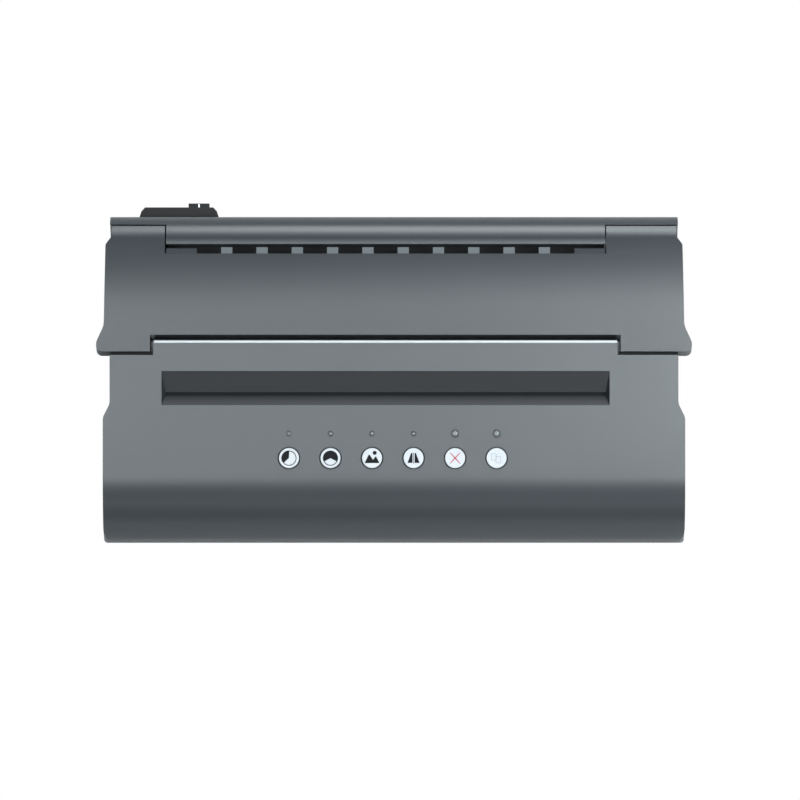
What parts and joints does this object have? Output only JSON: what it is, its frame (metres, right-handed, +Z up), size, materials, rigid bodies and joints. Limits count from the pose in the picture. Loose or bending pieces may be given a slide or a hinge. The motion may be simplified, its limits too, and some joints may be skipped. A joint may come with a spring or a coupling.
{
  "type": "thermal stencil copier",
  "caption": "Flat office copier with a hinged lid over its platen roller, a document slot in the front panel, push buttons and a rear power module.",
  "frame": {"origin": "middle of the footprint, on the surface that it stands on", "axes": "+X along the machine's width to its user's right, +Y to the back, +Z up"},
  "size_m": [0.297, 0.1667, 0.07],
  "materials": {
    "casing": "fine satin moulded texture, dark grey",
    "lid": "fine satin moulded texture, dark grey",
    "bright_strip": "polished",
    "steel": "bright rolled sheet",
    "aluminium": "extruded",
    "black_plastic": "moulded",
    "gear_plastic": "natural acetal",
    "black_rubber": "ground rubber",
    "pale_rubber": "ground rubber",
    "button_white": "satin white cap",
    "lamp": "clear diffused lamp",
    "circuit_board": "solder mask",
    "ceramic": "glazed",
    "glass": "polished",
    "brass": "plated",
    "spring_steel": "wire"
  },
  "bodies": {
    "body": {"base_tray": "casing", "front_panel": "casing", "exit_strip": "bright_strip", "rear_cover": "casing", "left_frame": "steel", "right_frame": "steel", "gear_plate": "steel", "gear_studs": "steel", "hinge_pins": "steel", "roller_bushes": "black_plastic", "stencil_motor": "steel", "document_motor": "steel", "head_springs": "spring_steel", "cross_bar": "steel", "stencil_chute": "black_plastic", "sensor_springs": "spring_steel", "sensor_tray": "black_plastic", "separation_pad": "black_rubber", "pad_holder": "black_plastic", "document_chute": "black_plastic", "main_board": "circuit_board", "power_supply": "circuit_board", "board_posts": "black_plastic", "button_board": "circuit_board", "tact_switches": "black_plastic", "status_lamps": "lamp", "power_inlet": "black_plastic", "inlet_pins": "brass", "rubber_feet": "black_rubber"},
    "lid": {"lid_shell": "lid", "lid_frame": "black_plastic", "platen_bushes": "black_plastic"},
    "platen": {"platen_shaft": "steel", "platen_roller": "black_rubber", "platen_gear": "gear_plastic"},
    "scan": {"scan_shaft": "steel", "scan_roller": "pale_rubber", "scan_gear": "gear_plastic"},
    "feed": {"feed_shaft": "steel", "feed_tyres": "black_rubber", "feed_gear": "gear_plastic"},
    "stencil_wheel": {"stencil_gear": "gear_plastic"},
    "document_wheel": {"document_gear": "gear_plastic"},
    "stencil_rotor": {"stencil_pinion": "brass"},
    "document_rotor": {"document_pinion": "brass"},
    "print_head": {"thermal_head": "ceramic", "heat_sink": "aluminium"},
    "sensor": {"image_sensor": "black_plastic", "sensor_glass": "glass"},
    "rocker": {"rocker_switch": "black_plastic"},
    "button_1_body": {"button_1": "button_white"},
    "button_2_body": {"button_2": "button_white"},
    "button_3_body": {"button_3": "button_white"},
    "button_4_body": {"button_4": "button_white"},
    "button_5_body": {"button_5": "button_white"},
    "button_6_body": {"button_6": "button_white"}
  },
  "joints": [
    {"name": "lid_hinge", "type": "hinge", "parent": "body", "child": "lid", "pos_m": [0, 0.04925, 0.062], "axis": [-1, 0, 0], "range_deg": [0, 55]},
    {"name": "platen_spin", "type": "hinge", "parent": "lid", "child": "platen", "pos_m": [0, 0.02125, 0.055], "axis": [1, 0, 0], "continuous": true},
    {"name": "stencil_gear_spin", "type": "hinge", "parent": "body", "child": "stencil_wheel", "pos_m": [0, 0.02602, 0.04487], "axis": [1, 0, 0], "continuous": true},
    {"name": "stencil_motor_spin", "type": "hinge", "parent": "body", "child": "stencil_rotor", "pos_m": [0, 0.03494, 0.02877], "axis": [1, 0, 0], "continuous": true},
    {"name": "scan_spin", "type": "hinge", "parent": "body", "child": "scan", "pos_m": [0, 0.00536, 0.04457], "axis": [1, 0, 0], "continuous": true},
    {"name": "feed_spin", "type": "hinge", "parent": "body", "child": "feed", "pos_m": [0, -0.01351, 0.03792], "axis": [1, 0, 0], "continuous": true},
    {"name": "document_gear_spin", "type": "hinge", "parent": "body", "child": "document_wheel", "pos_m": [0, -0.02481, 0.02775], "axis": [1, 0, 0], "continuous": true},
    {"name": "document_motor_spin", "type": "hinge", "parent": "body", "child": "document_rotor", "pos_m": [0, -0.04371, 0.02442], "axis": [1, 0, 0], "continuous": true},
    {"name": "head_float", "type": "slide", "parent": "body", "child": "print_head", "axis": [0, 0, 1], "range_m": [-0.0012, 0], "stiffness_N_per_m": 3000, "springref_m": 0.001, "deforming": ["head_springs"]},
    {"name": "sensor_float", "type": "slide", "parent": "body", "child": "sensor", "axis": [0, 0.342, 0.9397], "range_m": [-0.001, 0], "stiffness_N_per_m": 1500, "springref_m": 0.001, "deforming": ["sensor_springs"]},
    {"name": "rocker_tilt", "type": "hinge", "parent": "body", "child": "rocker", "pos_m": [0, 0.07625, 0.0378], "axis": [1, 0, 0], "range_deg": [0, 24]},
    {"name": "button_1_press", "type": "slide", "parent": "body", "child": "button_1_body", "axis": [0, -0.2588, 0.9659], "range_m": [-0.0008, 0], "stiffness_N_per_m": 400, "springref_m": 0.0006},
    {"name": "button_2_press", "type": "slide", "parent": "body", "child": "button_2_body", "axis": [0, -0.2588, 0.9659], "range_m": [-0.0008, 0], "stiffness_N_per_m": 400, "springref_m": 0.0006},
    {"name": "button_3_press", "type": "slide", "parent": "body", "child": "button_3_body", "axis": [0, -0.2588, 0.9659], "range_m": [-0.0008, 0], "stiffness_N_per_m": 400, "springref_m": 0.0006},
    {"name": "button_4_press", "type": "slide", "parent": "body", "child": "button_4_body", "axis": [0, -0.2588, 0.9659], "range_m": [-0.0008, 0], "stiffness_N_per_m": 400, "springref_m": 0.0006},
    {"name": "button_5_press", "type": "slide", "parent": "body", "child": "button_5_body", "axis": [0, -0.2588, 0.9659], "range_m": [-0.0008, 0], "stiffness_N_per_m": 400, "springref_m": 0.0006},
    {"name": "button_6_press", "type": "slide", "parent": "body", "child": "button_6_body", "axis": [0, -0.2588, 0.9659], "range_m": [-0.0008, 0], "stiffness_N_per_m": 400, "springref_m": 0.0006}
  ],
  "couplings": [
    {"joint": "stencil_gear_spin", "follows": "platen_spin", "ratio": -1},
    {"joint": "stencil_motor_spin", "follows": "platen_spin", "ratio": 2.8333},
    {"joint": "feed_spin", "follows": "scan_spin", "ratio": -0.92308},
    {"joint": "document_gear_spin", "follows": "scan_spin", "ratio": 2},
    {"joint": "document_motor_spin", "follows": "scan_spin", "ratio": -6}
  ]
}
